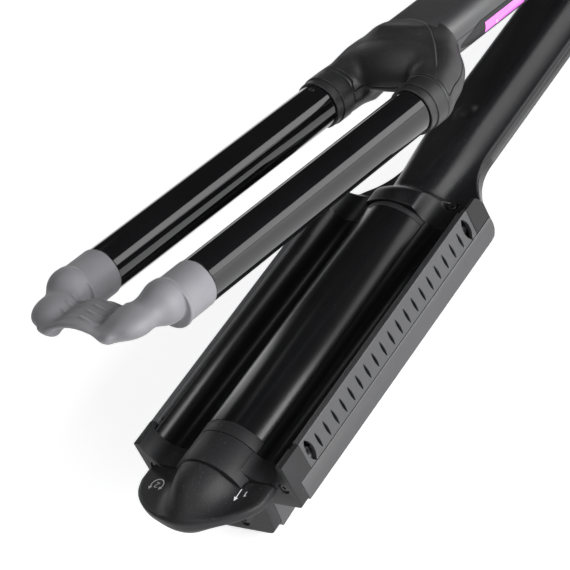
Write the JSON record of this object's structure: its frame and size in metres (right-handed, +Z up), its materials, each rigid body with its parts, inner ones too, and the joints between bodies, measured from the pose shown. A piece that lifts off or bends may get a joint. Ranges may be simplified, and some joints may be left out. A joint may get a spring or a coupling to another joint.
{
  "type": "hair waver",
  "caption": "Black hair waver: a fork of round barrels with a grey cool tip closes into a jaw with two troughs and a turnable centre hump worked by a winged tip knob.",
  "frame": {"origin": "centre of the flat foot under the front of the jaw, on the ground", "axes": "+X to the right seen from the tip, +Y from the tip towards the hinge, +Z up, with the tool resting on its foot and on the two ears of its hinge"},
  "size_m": [0.0762, 0.3832, 0.1436],
  "materials": {
    "black_shell": "fine satin moulded black",
    "dark_cap": "fine matte moulded charcoal",
    "coated_plate": "smooth glossy black coating",
    "cool_grip": "soft-touch grey",
    "steel": "plain steel",
    "screw_steel": "blackened steel",
    "ceramic": "fired ceramic",
    "heat_proof_plastic": "glass-filled plastic",
    "board": "coated circuit board",
    "lamp": "clear lens",
    "pink_window": "tinted translucent strip",
    "cord_rubber": "moulded rubber"
  },
  "bodies": {
    "lower_arm": {"lower_shell": "black_shell", "end_cap": "dark_cap", "cap_screws": "screw_steel", "vent_panel_left": "black_shell", "vent_panel_right": "black_shell", "panel_screws": "screw_steel", "trough_plate_left": "coated_plate", "trough_plate_right": "coated_plate", "trough_heaters": "ceramic", "heater_carriers": "heat_proof_plastic", "lower_handle_top": "black_shell", "lower_handle_bottom": "black_shell", "hinge_pin": "steel", "hinge_spring": "steel", "hinge_caps": "black_shell"},
    "drum": {"wave_drum": "coated_plate", "drum_band_front": "dark_cap", "drum_band_rear": "dark_cap", "drum_heater": "ceramic", "knob_spring": "steel"},
    "knob": {"turn_knob": "dark_cap", "knob_shaft": "steel"},
    "upper_arm": {"barrel_left": "coated_plate", "barrel_right": "coated_plate", "barrel_heaters": "ceramic", "collar_left": "black_shell", "collar_right": "black_shell", "barrel_screws": "screw_steel", "cool_tip": "cool_grip", "tip_screws": "screw_steel", "yoke_frame": "steel", "yoke_top": "black_shell", "yoke_bottom": "black_shell", "upper_handle_top": "black_shell", "upper_handle_bottom": "black_shell", "control_panel": "black_shell", "panel_window": "pink_window", "circuit_board": "board", "tact_switches": "heat_proof_plastic", "indicator_leds": "lamp", "hinge_bushes": "heat_proof_plastic"},
    "power_button": {"power_button": "dark_cap"},
    "plus_button": {"plus_button": "dark_cap"},
    "minus_button": {"minus_button": "dark_cap"},
    "swivel": {"cord_swivel": "cord_rubber"}
  },
  "joints": [
    {"name": "main_hinge", "type": "hinge", "parent": "lower_arm", "child": "upper_arm", "pos_m": [0, 0.31502, 0.014], "axis": [1, 0, 0], "range_deg": [0, 14.3], "stiffness_Nm_per_rad": 1, "springref_deg": -34.38},
    {"name": "drum_turn", "type": "hinge", "parent": "lower_arm", "child": "drum", "pos_m": [0, -0.00651, 0.03138], "axis": [0, 0.9987, -0.0509], "range_deg": [0, 180]},
    {"name": "knob_pull", "type": "slide", "parent": "drum", "child": "knob", "axis": [0, -0.9987, 0.0509], "range_m": [0, 0.006], "stiffness_N_per_m": 500, "springref_m": -0.004, "deforming": ["knob_spring"]},
    {"name": "power_press", "type": "slide", "parent": "upper_arm", "child": "power_button", "axis": [-1, 0, 0], "range_m": [0, 0.0008], "stiffness_N_per_m": 800, "springref_m": -0.0008},
    {"name": "plus_press", "type": "slide", "parent": "upper_arm", "child": "plus_button", "axis": [-1, 0, 0], "range_m": [0, 0.0008], "stiffness_N_per_m": 800, "springref_m": -0.0008},
    {"name": "minus_press", "type": "slide", "parent": "upper_arm", "child": "minus_button", "axis": [-1, 0, 0], "range_m": [0, 0.0008], "stiffness_N_per_m": 800, "springref_m": -0.0008},
    {"name": "cord_turn", "type": "hinge", "parent": "upper_arm", "child": "swivel", "pos_m": [0, 0.33687, 0.01456], "axis": [0, 0.9552, -0.296], "continuous": true}
  ]
}
